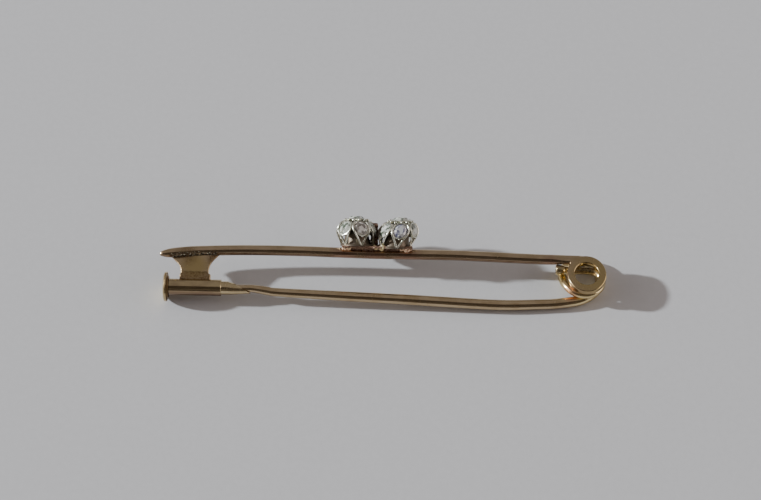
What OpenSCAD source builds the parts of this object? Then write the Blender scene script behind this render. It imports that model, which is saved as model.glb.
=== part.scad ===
// Bar brooch with two diamond clusters, a spring pin and a sliding tube catch.
// It lies on its side, as it does on a table: +Z up, +X from the pointed tip to the coil,
// +Y from the pin towards the bar. All sizes in millimetres.

/* [Bar] */
// radius of the round bar
bar_radius = 0.7; // [0.6:0.05:0.8]
// height of the bar's axis over the table near the catch
bar_height_catch = 3.66; // [3.4:0.05:3.9]
// height of the bar's axis over the table at the coil
bar_height_coil = 3.05; // [3.05:0.05:3.1]
// thickness of the flat eye at the end of the bar
eye_thickness = 0.9; // [0.8:0.05:0.95]
// outer radius of the eye
eye_outer = 2.76; // [2.6:0.05:2.9]
// radius of the hole in the eye
eye_hole = 1.66; // [1.5:0.02:1.8]

/* [Catch] */
// outer radius of the fixed tube
tube_radius = 1.1; // [1.05:0.05:1.2]
// radius of the sliding sleeve
sleeve_radius = 0.9; // [0.85:0.01:0.92]
// running gap between the sleeve and the tube, on the radius
sleeve_gap = 0.04; // [0.02:0.01:0.08]
// radius of the thumb disc, which the catch end rests on
disc_radius = 2.0; // [1.8:0.05:2.2]
// thickness of the thumb disc
disc_thickness = 0.74; // [0.6:0.02:0.9]
// thickness of the catch plate
plate_thickness = 0.65; // [0.5:0.05:0.7]
// how far the sleeve's nose stands out of the tube
sleeve_reach = 4.0; // [3.8:0.05:4.1]

/* [Pin] */
// radius of the pin wire at the coil
wire_radius = 0.7; // [0.65:0.05:0.7]
// sides of the swept wires
wire_sides = 20; // [12:4:28]

/* [Clusters] */
// how far the left cluster stands up from the table plane, in degrees
head_lean_left = 36; // [34:1:44]
// how far the right cluster stands up from the table plane, in degrees
head_lean_right = 42; // [38:1:44]
// tilt of the six outer stones, in degrees
petal_tilt = 66; // [60:1:70]
// distance of the outer stones from the cluster's axis
petal_ring = 2.2; // [2.1:0.02:2.24]
// height of the outer stones over the bar's axis
petal_height = 3.4; // [3.3:0.02:3.5]
// radius of an outer stone
petal_stone = 0.95; // [0.9:0.01:0.97]
// radius of a centre stone
centre_stone = 1.2; // [1.1:0.02:1.24]
// height of the centre stone over the bar's axis
centre_height = 4.58; // [4.5:0.02:4.64]
// radius of the wires that hold the stones
claw_radius = 0.15; // [0.12:0.01:0.18]
// thickness of the wall inside the ring of stones
gallery_wall = 0.16; // [0.12:0.02:0.2]

/* [Hidden] */
// each row: along the bar, across, share of the drop from catch to coil, share of the radius
bar_rows = [
    [-30.02, -0.86, 0.00, 0.12],
    [-29.88, -0.84, 0.00, 0.36],
    [-29.55, -0.80, 0.00, 0.60],
    [-29.00, -0.76, 0.00, 0.80],
    [-28.20, -0.68, 0.00, 0.94],
    [-26.80, -0.54, 0.01, 1.00],
    [-24.50, -0.32, 0.03, 1.00],
    [-18.50, 0.02, 0.14, 1.00],
    [-11.10, 0.13, 0.28, 1.00],
    [-5.70, 0.07, 0.39, 1.00],
    [-0.40, 0.05, 0.49, 1.00],
    [9.00, 0.18, 0.68, 1.00],
    [13.00, 0.12, 0.76, 1.00],
    [21.10, -0.06, 0.92, 1.00],
    [24.20, 0.00, 0.98, 0.99],
    [25.60, 0.02, 1.00, 0.95],
    [26.60, 0.02, 1.00, 0.89],
    [27.50, -0.14, 1.00, 0.74],
    [28.20, -0.48, 1.00, 0.55],
];
// each row: along the stem, across, height, radius where the wire at the coil is 0.7
stem_rows = [
    [-21.60, -5.12, 2.00, 0.20],
    [-21.20, -5.12, 2.00, 0.34],
    [-20.20, -5.12, 2.00, 0.46],
    [-18.70, -5.12, 2.00, 0.48],
    [-17.40, -5.12, 2.00, 0.51],
    [-16.40, -5.22, 1.95, 0.55],
    [-15.20, -5.38, 1.87, 0.57],
    [-13.80, -5.50, 1.80, 0.58],
    [-5.75, -5.67, 1.55, 0.66],
    [2.30, -5.81, 1.30, 0.70],
    [7.70, -5.94, 1.12, 0.71],
    [15.70, -6.08, 0.86, 0.71],
    [21.10, -5.76, 0.73, 0.70],
    [23.17, -5.58, 0.70, 0.70],
    [25.04, -5.27, 0.70, 0.70],
    [26.35, -4.95, 0.70, 0.70],
    [27.40, -4.42, 0.70, 0.70],
    [28.33, -3.68, 0.70, 0.70],
    [29.03, -2.72, 0.70, 0.70],
    [29.32, -1.65, 0.70, 0.70],
    [29.20, -0.55, 0.70, 0.70],
    [28.65, 0.40, 0.70, 0.70],
    [27.75, 1.05, 0.70, 0.70],
    [26.70, 1.30, 0.70, 0.70],
    [25.65, 1.08, 0.72, 0.68],
    [24.80, 0.42, 0.80, 0.65],
    [24.28, -0.50, 0.96, 0.61],
    [24.17, -1.55, 1.22, 0.58],
    [24.32, -2.65, 1.56, 0.55],
    [24.75, -3.60, 1.85, 0.53],
    [25.45, -4.35, 1.98, 0.53],
    [26.35, -4.80, 2.01, 0.53],
    [27.40, -4.86, 2.01, 0.53],
    [28.40, -4.45, 2.01, 0.53],
    [29.15, -3.60, 2.01, 0.53],
    [29.38, -2.55, 2.01, 0.53],
    [29.05, -1.60, 2.00, 0.53],
    [28.30, -1.05, 1.95, 0.53],
    [27.30, -0.92, 1.92, 0.53],
    [26.20, -0.95, 1.94, 0.53],
    [25.20, -1.02, 2.00, 0.54],
    [24.30, -1.06, 2.10, 0.56],
    [23.60, -1.08, 2.16, 0.56],
    [23.20, -1.08, 2.18, 0.54],
];
// each row: distance from the tube's axis, left edge, right edge
plate_rows = [
    [0.60, -27.15, -23.13],
    [1.25, -27.13, -23.15],
    [1.90, -27.04, -23.26],
    [2.50, -27.06, -23.28],
    [3.10, -27.38, -23.12],
    [3.60, -27.86, -22.86],
    [4.05, -28.26, -22.50],
    [4.45, -28.44, -22.16],
    [4.80, -28.50, -22.02],
];
tube_y = -5.12;
tube_z = 2.0;
tube_left = -28.42;
tube_right = -21.50;
disc_left = tube_left - 0.03 - disc_thickness;
nose_end = tube_right + sleeve_reach;
mouth_slant = 60;
mouth_middle = nose_end - 1.2;
mouth_roll = -55;
plate_top = [-0.34, bar_height_catch - 0.02];
plate_angle = atan2(plate_top[1] - tube_z, plate_top[0] - tube_y);
eye_centre = [27.28, -2.42];
eye_stretch = [0.955, 1.05, 1];
head_lean = [head_lean_left, head_lean_right];
head_x = [-3.52, 1.62];
head_slant = [-0.05, 0.19];
head_turn = [47, 36];
head_rows_y = [0.06, 0.07];
petals = 6;
// shift that puts the middle of the brooch's footprint at the origin
footprint = [0, 1.21, 0];
base_inner = 1.8;
base_outer = 2.3;
base_low = bar_radius + 0.26;
base_high = bar_radius + 0.58;
petal_rim = petal_ring / 2 + 0.03;
centre_rim = centre_stone + 0.14;
gallery_low = base_inner + 0.1;
gallery_high = 1.16;

// height of the bar's axis where a share of its drop is done
function bar_z(share) = bar_height_catch + (bar_height_coil - bar_height_catch) * share;

// a smooth value between b and c, where a and d are their neighbours
function curve(a, b, c, d, t) =
    0.5 * ((2 * b) + (c - a) * t + (2 * a - 5 * b + 4 * c - d) * t * t
    + (3 * b - a - 3 * c + d) * t * t * t);

// the rows with smooth rows put between them
function smooth_rows(rows, cuts) = [
    for (i = [0 : len(rows) - 2])
        for (k = [0 : cuts - 1])
            let (a = rows[max(i - 1, 0)], b = rows[i], c = rows[i + 1],
                d = rows[min(i + 2, len(rows) - 1)])
                curve(a, b, c, d, k / cuts),
    rows[len(rows) - 1]
];

function unit(v) = v / norm(v);

// direction of a path at point i
function heading(path, i) =
    let (a = path[max(i - 1, 0)], b = path[min(i + 1, len(path) - 1)])
    unit([b[0] - a[0], b[1] - a[1], b[2] - a[2]]);

// one ring of points round point i of a path
function ring_points(path, i, sides) =
    let (t = heading(path, i), s = unit(cross(t, [0, 0, 1])), u = cross(s, t), p = path[i])
    [for (k = [0 : sides - 1])
        [p[0], p[1], p[2]] + p[3] * (cos(360 * k / sides) * s + sin(360 * k / sides) * u)];

// a round wire along a path of points with a radius each
module wire(path, sides) {
    last = len(path) - 1;
    points = [for (i = [0 : last]) each ring_points(path, i, sides)];
    sides_list = [
        for (i = [0 : last - 1])
            for (k = [0 : sides - 1])
                let (a = i * sides + k, b = i * sides + (k + 1) % sides)
                each [[a, b, a + sides], [b, b + sides, a + sides]]
    ];
    first_cap = [for (k = [sides - 1 : -1 : 0]) k];
    last_cap = [for (k = [0 : sides - 1]) last * sides + k];
    polyhedron(points = points, faces = concat(sides_list, [first_cap], [last_cap]), convexity = 6);
}

stem_path = [
    for (r = smooth_rows(stem_rows, 4))
        [r[0], r[1], r[2], r[3] * wire_radius / 0.7]
];

bar_path = [
    for (r = smooth_rows(bar_rows, 4))
        [r[0], r[1], bar_z(r[2]), bar_radius * r[3]]
];

// moves a finished node so that the brooch's footprint is centred
module placed() {
    translate(footprint)
        children();
}

// a round rod between two points
module rod(a, b, r) {
    v = b - a;
    translate(a)
        rotate([0, acos(v[2] / norm(v)), atan2(v[1], v[0])])
            cylinder(h = norm(v), r = r, $fn = 10);
}

// moves a child to the tube's axis, turned to lie along +X
module along_tube(x) {
    translate([x, tube_y, tube_z])
        rotate([0, 90, 0])
            children();
}

// moves a child to where a cluster stands on the bar
module at_head(side) {
    translate([head_x[side], head_rows_y[side], bar_z(0.44 + 0.1 * side)])
        rotate([head_lean[side] - 90, 0, 0])
            multmatrix([[1, 0, head_slant[side], -head_slant[side] * base_high], [0, 1, 0, 0], [0, 0, 1, 0]])
                rotate([0, 0, head_turn[side]])
                    children();
}

// moves a child to the seat of outer stone k
module at_petal(k) {
    rotate([0, 0, 360 * k / petals])
        translate([petal_ring, 0, petal_height])
            rotate([0, petal_tilt, 0])
                children();
}

// the flat eye with eased edges, which is the bar's own end bent round
module eye() {
    h = eye_thickness / 2;
    e = 0.16;
    translate([eye_centre[0], eye_centre[1], bar_height_coil])
        scale(eye_stretch)
            rotate_extrude($fn = 64)
                polygon([
                    [eye_hole, e - h], [eye_hole + e, -h],
                    [eye_outer - e, -h], [eye_outer, e - h],
                    [eye_outer, h - e], [eye_outer - e, h],
                    [eye_hole + e, h], [eye_hole, h - e]
                ]);
}

// the waisted plate that carries the tube
module catch_plate() {
    left = [for (r = plate_rows) [r[1], r[0]]];
    right = [for (i = [len(plate_rows) - 1 : -1 : 0]) [plate_rows[i][2], plate_rows[i][0]]];
    translate([0, tube_y, tube_z])
        rotate([plate_angle, 0, 0])
            translate([0, 0, -plate_thickness / 2])
                linear_extrude(plate_thickness)
                    polygon(concat(right, left));
}

// low mounds of solder between the bar and a cluster's base
module solder(side) {
    at_head(side)
        rotate([0, 0, -head_turn[side]])
            intersection() {
                union() {
                    for (s = [-1, 1])
                        translate([s * 1.9, 0, 0.42])
                            sphere(r = 0.66, $fn = 24);
                }
                translate([-3, -3, 0])
                    cube([6, 6, base_low - 0.03]);
            }
}

module bar() {
    color("#a5854c")
        placed() difference() {
            union() {
                wire(bar_path, wire_sides);
                eye();
                catch_plate();
                along_tube(tube_left)
                    cylinder(h = tube_right - tube_left, r = tube_radius, $fn = 48);
                solder(0);
                solder(1);
            }
            along_tube(tube_left - 1)
                cylinder(h = tube_right - tube_left + 2, r = sleeve_radius + sleeve_gap, $fn = 48);
        }
}

module pin() {
    color("#b08d4f") placed() {
        wire(stem_path, wire_sides);
    }
}

module sleeve() {
    e = 0.2;
    w = disc_left;
    color("#a98a50")
        placed() difference() {
            along_tube(0)
                rotate_extrude($fn = 48)
                    polygon([
                        [0, w], [disc_radius - 1.5 * e, w],
                        [disc_radius - 0.4 * e, w + 0.5 * e], [disc_radius, w + 1.6 * e],
                        [disc_radius, w + disc_thickness - e], [disc_radius - e, w + disc_thickness],
                        [sleeve_radius, w + disc_thickness], [sleeve_radius, nose_end - 3.1],
                        [0.84, nose_end - 2.7], [0.76, nose_end - 1.9], [0.7, nose_end - 0.9],
                        [0.68, nose_end], [0.6, nose_end], [0.6, nose_end - 4.7], [0, nose_end - 4.7]
                    ]);
            translate([mouth_middle, tube_y, tube_z])
                rotate([mouth_roll, 0, 0])
                    rotate([0, -mouth_slant, 0])
                        translate([0, -3, -4])
                            cube([5, 6, 8]);
        }
}

// the cone-shaped rim that an outer stone sits in
module collet(rim, stone, depth) {
    rotate_extrude($fn = 28)
        polygon([
            [stone * 0.52, -depth], [stone * 0.72, -depth],
            [rim, -0.05], [rim - 0.03, 0.08], [stone + 0.035, 0.08],
            [stone + 0.035, -0.03]
        ]);
}

// a point at a given angle, distance and height in a cluster
function spot(angle, distance, height) =
    [distance * cos(angle), distance * sin(angle), height];

module setting(side) {
    placed() at_head(side) {
        rotate_extrude($fn = 48)
            polygon([
                [base_inner, base_low], [base_outer, base_low],
                [base_outer, base_high - 0.08], [base_outer - 0.1, base_high],
                [base_inner, base_high]
            ]);
        for (k = [0 : petals - 1]) {
            a = 360 * k / petals;
            at_petal(k)
                collet(petal_rim, petal_stone, 0.72);
            for (s = [-1, 1])
                rod(spot(a + s * 2, base_outer - 0.16, base_high - 0.15),
                    spot(a + s * 20, 2.60, petal_height - 0.62), claw_radius);
            translate(spot(a + 30, 2.02, petal_height + 0.75))
                sphere(r = 0.24, $fn = 10);
            translate(spot(a, 1.50, centre_height - 0.08))
                sphere(r = 0.26, $fn = 10);
        }
        rotate_extrude($fn = 48)
            polygon([
                [gallery_low - gallery_wall, base_high - 0.2], [gallery_low, base_high - 0.2],
                [gallery_high, centre_height - 0.6], [gallery_high - gallery_wall, centre_height - 0.6]
            ]);
        translate([0, 0, centre_height])
            collet(centre_rim, centre_stone, 0.85);
    }
}

// an old-cut stone: an eight-sided table, a faceted crown, a girdle and a pavilion
module cut_stone(r) {
    hull() {
        translate([0, 0, 0.35 * r])
            cylinder(h = 0.01 * r, r = 0.52 * r, $fn = 8);
        translate([0, 0, 0.2 * r])
            rotate([0, 0, 22.5])
                cylinder(h = 0.01 * r, r = 0.81 * r, $fn = 8);
        translate([0, 0, -0.03])
            cylinder(h = 0.06, r = r, $fn = 16);
        translate([0, 0, -0.62 * r])
            cylinder(h = 0.01 * r, r = 0.12 * r, $fn = 8);
    }
}

module stone(side, k) {
    color("#dfe6ea")
        placed() at_head(side)
            if (k == 0)
                translate([0, 0, centre_height])
                    cut_stone(centre_stone);
            else
                at_petal(k - 1)
                    cut_stone(petal_stone);
}

bar();
pin();
sleeve();
color("#a9aaa2") setting(0);  // setting_left
color("#a9aaa2") setting(1);  // setting_right
stone(0, 0);  // stone_left_centre
stone(0, 1);  // stone_left_1
stone(0, 2);  // stone_left_2
stone(0, 3);  // stone_left_3
stone(0, 4);  // stone_left_4
stone(0, 5);  // stone_left_5
stone(0, 6);  // stone_left_6
stone(1, 0);  // stone_right_centre
stone(1, 1);  // stone_right_1
stone(1, 2);  // stone_right_2
stone(1, 3);  // stone_right_3
stone(1, 4);  // stone_right_4
stone(1, 5);  // stone_right_5
stone(1, 6);  // stone_right_6
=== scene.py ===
"""Looks of a gold bar brooch with two diamond clusters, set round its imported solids.

Everything is modelled in millimetres. A piece is turned into metres and moved to the
frame of the solids when it is finished. +X runs from the tip at the catch to the coil,
+Z is up from the table and +Y goes from the pin to the bar.
"""

import logging
import math
import random
from dataclasses import dataclass
from enum import Enum
from typing import Callable, Sequence

import bpy
from mathutils import Matrix, Vector


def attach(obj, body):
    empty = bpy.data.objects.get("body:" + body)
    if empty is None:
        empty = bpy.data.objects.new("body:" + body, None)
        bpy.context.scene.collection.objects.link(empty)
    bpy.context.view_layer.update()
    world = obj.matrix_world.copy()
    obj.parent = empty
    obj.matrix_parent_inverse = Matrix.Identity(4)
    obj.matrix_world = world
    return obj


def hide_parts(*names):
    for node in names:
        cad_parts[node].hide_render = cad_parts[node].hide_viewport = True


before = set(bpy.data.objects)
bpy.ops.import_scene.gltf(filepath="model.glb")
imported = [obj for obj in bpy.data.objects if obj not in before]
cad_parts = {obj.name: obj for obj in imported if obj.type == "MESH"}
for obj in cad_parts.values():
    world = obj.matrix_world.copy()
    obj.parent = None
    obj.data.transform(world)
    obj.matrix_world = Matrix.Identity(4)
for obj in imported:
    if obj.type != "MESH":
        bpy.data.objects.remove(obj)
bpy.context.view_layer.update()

LOG = logging.getLogger("brooch")
MM = 0.001
# From the origin of the tables below to that of the frame.
FOOTPRINT = Vector((0.0, 1.21, 0.0))
BODY = "brooch"
SLEEVE_BODY = "catch_sleeve"
# Height of the bar's axis at its tip and at the eye.
BAR_HIGH, BAR_LOW = 3.66, 3.05
# The axis of the tube, across and in height.
TUBE_Y, TUBE_Z = -5.12, 2.0
# Lays a lathed piece along the bar.
LAID = Matrix.Rotation(math.pi / 2, 4, "Y")
# Painted shade darkens what looks away from this side.
UNSHADED_SIDE = Vector((0.0, 0.85, 0.53))
# Points closer than this are merged.
MERGE = 1e-4

Row = tuple[float, ...]
Table = tuple[Row, ...]
Pair = tuple[float, float]
Point = tuple[float, float, float]
Colour = Point
Piece = bpy.types.Object
Socket = bpy.types.NodeSocket
Material = bpy.types.Material


class Slot(Enum):
    """Material slots of the record."""

    GOLD = "gold"
    WIRE = "gold_wire"
    CATCH = "gold_catch"
    WHITE = "white_metal"
    DIAMOND = "diamond"


class Side(Enum):
    """The two clusters, with their place in the tables below."""

    LEFT = 0
    RIGHT = 1


# ---- shader maths


class Val:
    """A shader value that builds Math nodes when it is used in an expression."""

    def __init__(self, graph: "Graph", socket: Socket) -> None:
        """Wraps a socket of a graph."""
        self.graph = graph
        self.socket = socket

    def _math(
        self, operation: str, *others: "float | Val", first: "float | None" = None
    ) -> "Val":
        """Adds one Math node.

        Args:
            operation: the node's operation.
            others: the operands after this one.
            first: a number that comes before this one.

        Returns:
            The result as a value.
        """
        operands = ([first] if first is not None else []) + [self, *others]
        settings = {"operation": operation}
        return self.graph.value("ShaderNodeMath", settings, dict(enumerate(operands)))

    def __add__(self, other: "float | Val") -> "Val":
        """Sum."""
        return self._math("ADD", other)

    def __radd__(self, other: float) -> "Val":
        """Sum with a number on the left."""
        return self._math("ADD", other)

    def __sub__(self, other: "float | Val") -> "Val":
        """Difference."""
        return self._math("SUBTRACT", other)

    def __rsub__(self, other: float) -> "Val":
        """Difference from a number."""
        return self._math("SUBTRACT", first=other)

    def __mul__(self, other: "float | Val") -> "Val":
        """Product."""
        return self._math("MULTIPLY", other)

    def __rmul__(self, other: float) -> "Val":
        """Product with a number on the left."""
        return self._math("MULTIPLY", other)

    def most(self, other: "float | Val") -> "Val":
        """The larger of the two."""
        return self._math("MAXIMUM", other)

    def ramp(self, low: float, high: float, to_low: float = 0.0, to_high: float = 1.0) -> "Val":
        """A smooth step between two ends.

        Args:
            low: the value where the step begins.
            high: the value where it ends.
            to_low: the result at low.
            to_high: the result at high.

        Returns:
            The step as a value.
        """
        settings = {"interpolation_type": "SMOOTHSTEP"}
        ends = {"From Min": low, "From Max": high, "To Min": to_low, "To Max": to_high}
        return self.graph.value("ShaderNodeMapRange", settings, {"Value": self, **ends})


class Graph:
    """The node tree of one material, with short ways to add its nodes."""

    def __init__(self, name: str) -> None:
        """Makes an empty material of that name.

        Args:
            name: the material's name.
        """
        self.material = bpy.data.materials.new(name)
        self.material.use_nodes = True
        self.tree = self.material.node_tree
        self.tree.nodes.clear()

    def node(
        self, kind: str, settings: dict | None = None, inputs: dict | None = None
    ) -> bpy.types.Node:
        """Adds a node.

        Args:
            kind: the node's type name.
            settings: properties that are set first.
            inputs: socket name or number to a number, colour, vector, Val or socket.

        Returns:
            The new node.
        """
        made = self.tree.nodes.new(kind)
        for key, value in (settings or {}).items():
            setattr(made, key, value)
        for key, value in (inputs or {}).items():
            target = made.inputs[key]
            if isinstance(value, Val):
                self.tree.links.new(value.socket, target)
            elif isinstance(value, Socket):
                self.tree.links.new(value, target)
            elif isinstance(value, tuple) and len(value) == 3 and target.type == "RGBA":
                target.default_value = (*value, 1.0)
            else:
                target.default_value = value
        return made

    def value(
        self, kind: str, settings: dict | None, inputs: dict | None, out: str | int = 0
    ) -> Val:
        """Adds a node and gives one output as a value."""
        return Val(self, self.node(kind, settings, inputs).outputs[out])

    def place(self) -> Socket:
        """The point on the piece in millimetres, in the frame of the solids.

        Returns:
            The point's socket.
        """
        coordinates = self.node("ShaderNodeTexCoord").outputs["Object"]
        inputs = {0: coordinates, "Scale": 1 / MM}
        return self.node("ShaderNodeVectorMath", {"operation": "SCALE"}, inputs).outputs[0]

    def own(self, name: str) -> Val:
        """The piece's own attribute of that name."""
        return self.value("ShaderNodeAttribute", {"attribute_name": name}, None, "Fac")

    def noise(self, place: Socket, scale: Row, detail: float = 3.0, rough: float = 0.55) -> Val:
        """Noise with its own scale along each axis.

        Args:
            place: the point on the piece.
            scale: features per millimetre along each axis.
            detail: how many finer layers it has.
            rough: how strong the finer layers are.

        Returns:
            The noise as a value.
        """
        inputs = {"Vector": place, "Scale": scale}
        stretched = self.node("ShaderNodeMapping", {"vector_type": "POINT"}, inputs).outputs[0]
        inputs = {"Vector": stretched, "Scale": 1.0, "Detail": detail, "Roughness": rough}
        return self.value("ShaderNodeTexNoise", None, inputs)

    def cells(self, place: Socket, scale: float) -> Val:
        """A random value for each cell of a patchwork.

        Args:
            place: the point on the piece.
            scale: cells per millimetre.

        Returns:
            The patchwork as a value.
        """
        inputs = {"Vector": place, "Scale": scale}
        patch = self.value("ShaderNodeTexVoronoi", {"feature": "F1"}, inputs, "Color")
        return patch.ramp(0.33, 0.67)

    def blob(self, place: Socket, spot: Row) -> Val:
        """A mask over a spot, which fades to 0 round it.

        Args:
            place: the point on the piece.
            spot: a point, then the radius where it is 1 and the radius where it is 0.

        Returns:
            The mask as a value.
        """
        *centre, inner, outer = spot
        inputs = {0: place, 1: tuple(Vector(centre) + FOOTPRINT)}
        away = self.value("ShaderNodeVectorMath", {"operation": "DISTANCE"}, inputs, "Value")
        return away.ramp(inner, outer, 1.0, 0.0)

    def cover(self, place: Socket, spots: Sequence[Row]) -> Val | None:
        """One mask over several spots.

        Args:
            place: the point on the piece.
            spots: the spots, as blob takes them.

        Returns:
            The mask as a value, or None where there are no spots.
        """
        mask = None
        for spot in spots:
            made = self.blob(place, spot)
            mask = made.most(mask) if mask else made
        return mask

    def mix(self, share: "float | Val", low: "Colour | Socket", high: "Colour | Socket") -> Socket:
        """A colour between two others."""
        made = self.node("ShaderNodeMix", {"data_type": "RGBA"}, {0: share, 6: low, 7: high})
        return made.outputs[2]

    def bump(self, height: Val, strength: float, depth_mm: float) -> Socket:
        """A normal that follows a height."""
        inputs = {"Strength": strength, "Distance": depth_mm * MM, "Height": height}
        return self.node("ShaderNodeBump", None, inputs).outputs[0]

    def surface(self, inputs: dict) -> Material:
        """Ends the tree with a Principled surface.

        Args:
            inputs: the sockets that differ from the default.

        Returns:
            The finished material.
        """
        shader = self.node("ShaderNodeBsdfPrincipled", None, inputs)
        self.node("ShaderNodeOutputMaterial", None, {"Surface": shader.outputs[0]})
        return self.material


# ---- finishes


@dataclass(frozen=True)
class GoldFinish:
    """Old gold: a worn polish, brown film specks, drawn lines and nicks, and painted shade."""

    name: str
    bright: Colour = (0.64, 0.50, 0.325)
    dull: Colour = (0.48, 0.36, 0.21)
    film_and_shade: Colour = (0.16, 0.095, 0.04)
    copper: Colour = (0.38, 0.23, 0.165)
    rich: Colour = (0.54, 0.41, 0.18)
    grain: Point = (0.25, 4.0, 4.0)
    smooth: float = 0.13
    worn: float = 0.22
    relief: float = 0.10
    # Colour and strength of the painted shade on faces that look down.
    below: Colour = (0.20, 0.125, 0.085)
    under_shade: float = 0.85
    metal: float = 1.0
    # A band along X that is darkened as painted shade.
    painted_shade_band: Pair | None = None
    copper_spots: Table = ()
    # Spots darkened towards the film colour: some are stains, some are painted shade.
    stain_and_shade_spots: Table = ()
    rich_spots: Table = ()

    def material(self) -> Material:
        """Builds the material, which reads how far a point looks down to paint shade there.

        Returns:
            The finished material.
        """
        g = Graph(self.name)
        p = g.place()
        under = g.own("under")
        clouds = g.noise(p, (0.35, 0.6, 0.6), 4.0, 0.6)
        streaks = g.noise(p, self.grain, 3.0, 0.65)
        specks = g.noise(p, (5.0, 5.0, 5.0), 2.0, 0.6)
        wear = (clouds * 0.6 + streaks * 0.4).ramp(0.36, 0.62)
        colour = g.mix(wear, self.dull, self.bright)
        # Painted shade: faces that look down are darkened towards the below colour.
        colour = g.mix(under * self.under_shade, colour, self.below)
        rich = g.cover(p, self.rich_spots)
        if rich:
            colour = g.mix(rich * (0.55 + clouds * 0.6), colour, self.rich)
        # Film specks are stains; the listed spots are partly stains and partly painted shade.
        film_and_shade = specks.ramp(0.66, 0.76) * 0.4
        stain_and_shade = g.cover(p, self.stain_and_shade_spots)
        if stain_and_shade:
            film_and_shade = film_and_shade.most(stain_and_shade * specks.ramp(0.3, 0.62, 1.0, 0.5))
        # Painted shade across the band.
        if self.painted_shade_band:
            low, high = self.painted_shade_band
            edge = 0.02
            along = g.value("ShaderNodeSeparateXYZ", None, {0: p}, "X")
            band = along.ramp(low - edge, low) * along.ramp(high, high + edge, 1.0, 0.0)
            film_and_shade = film_and_shade.most(band * 0.9)
        colour = g.mix(film_and_shade, colour, self.film_and_shade)
        warm = g.cover(p, self.copper_spots)
        if warm:
            colour = g.mix(warm * (0.45 + streaks * 0.6), colour, self.copper)
        nicks = g.noise(p, (2.2, 7.0, 7.0), 2.0, 0.5).ramp(0.66, 0.74)
        rough = wear.ramp(0.0, 1.0, self.worn, self.smooth) + film_and_shade * 0.3 + nicks * 0.08
        height = streaks * 0.35 + specks * 0.25 - nicks * 0.5 + clouds * 0.6
        return g.surface({
            "Base Color": colour, "Metallic": self.metal, "Roughness": rough,
            "Normal": g.bump(height, self.relief, 0.03),
        })


@dataclass(frozen=True)
class SolderFinish:
    """Grainy old solder, dark between pale specks."""

    name: str = "old_solder"
    dark: Colour = (0.05, 0.038, 0.025)
    pale: Colour = (0.44, 0.40, 0.30)
    metal: float = 1.0

    def material(self) -> Material:
        """Builds the material.

        Returns:
            The finished material.
        """
        g = Graph(self.name)
        p = g.place()
        grains = g.noise(p, (3.6, 3.6, 3.6), 3.0, 0.7)
        colour = g.mix(grains.ramp(0.46, 0.66), self.dark, self.pale)
        return g.surface({
            "Base Color": colour, "Metallic": self.metal,
            "Roughness": grains.ramp(0.4, 0.7, 0.65, 0.38),
            "Normal": g.bump(grains, 0.9, 0.12),
        })


@dataclass(frozen=True)
class WhiteMetalFinish:
    """Greyed white metal of the settings, darker low down, with painted shade between the two
    clusters.
    """

    name: str = "white_setting"
    bright: Colour = (0.90, 0.90, 0.78)
    grey: Colour = (0.48, 0.49, 0.39)
    dark: Colour = (0.11, 0.075, 0.048)
    # Painted shade where the two clusters face each other.
    painted_shade_spot: Row = (-1.05, 2.3, 5.2, 1.0, 2.1)

    def material(self) -> Material:
        """Builds the material, which reads how deep a point lies.

        Returns:
            The finished material.
        """
        g = Graph(self.name)
        p = g.place()
        depth = g.own("depth")
        clouds = g.noise(p, (1.4, 1.4, 1.4), 3.0, 0.6)
        specks = g.noise(p, (7.0, 7.0, 7.0), 2.0, 0.6)
        colour = g.mix(clouds.ramp(0.35, 0.62), self.grey, self.bright)
        # Painted shade between the clusters, added to the darkening low down and the specks.
        brown_and_shade = g.blob(p, self.painted_shade_spot)
        dirt_and_shade = (depth.most(brown_and_shade * 0.8) + specks * 0.5 - 0.3).ramp(0.2, 0.85)
        colour = g.mix(dirt_and_shade * 0.92, colour, self.dark)
        return g.surface({
            "Base Color": colour, "Metallic": 1.0,
            "Roughness": clouds.ramp(0.3, 0.7, 0.34, 0.18) + dirt_and_shade * 0.25,
            "Normal": g.bump(specks + clouds * 0.5, 0.3, 0.03),
        })


@dataclass(frozen=True)
class DiamondFinish:
    """A clear old-cut stone with a faint tint, whose facets carry painted reflections and glints.
    """

    name: str = "diamond"
    tint: Colour = (0.96, 0.98, 0.86)
    shade: Colour = (0.12, 0.16, 0.105)
    patches_per_mm: float = 2.7
    clearness: float = 0.34
    refraction: float = 2.42

    def material(self) -> Material:
        """Builds the material, which reads the painted glint of each facet.

        Returns:
            The finished material.
        """
        g = Graph(self.name)
        p = g.place()
        haze = g.noise(p, (2.4, 2.4, 2.4), 2.0, 0.5)
        # Painted reflections: a patchwork and each facet's painted glint make light and dark
        # facets.
        inner = g.cells(p, self.patches_per_mm)
        light = g.own("spark") * 0.5 + inner + haze * 0.3 - 0.3
        colour = g.mix(light.ramp(0.15, 0.85), self.shade, self.tint)
        return g.surface({
            "Base Color": colour, "Roughness": haze.ramp(0.4, 0.7, 0.0, 0.03),
            "Transmission Weight": self.clearness, "IOR": self.refraction,
        })


@dataclass(frozen=True)
class PaperFinish:
    """The pale grey surface under the brooch."""

    name: str = "pale_floor"
    pale: Colour = (0.63, 0.63, 0.63)

    def material(self) -> Material:
        """Builds the material.

        Returns:
            The finished material.
        """
        g = Graph(self.name)
        p = g.place()
        fibre = g.noise(p, (1.2, 1.2, 1.2), 4.0, 0.6)
        dim = tuple(channel * 0.97 for channel in self.pale)
        colour = g.mix(fibre.ramp(0.3, 0.7), self.pale, dim)
        normal = g.bump(fibre, 0.15, 0.05)
        return g.surface({"Base Color": colour, "Roughness": 0.9, "Normal": normal})


# ---- bench tools


def between(p: float, q: float, r: float, s: float, t: float) -> float:
    """A value a share t of the way from q to r, on a curve that p and s bend."""
    bend, lift = 2 * p - 5 * q + 4 * r - s, 3 * q - p - 3 * r + s
    return 0.5 * (2 * q + (r - p) * t + bend * t * t + lift * t ** 3)


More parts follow.
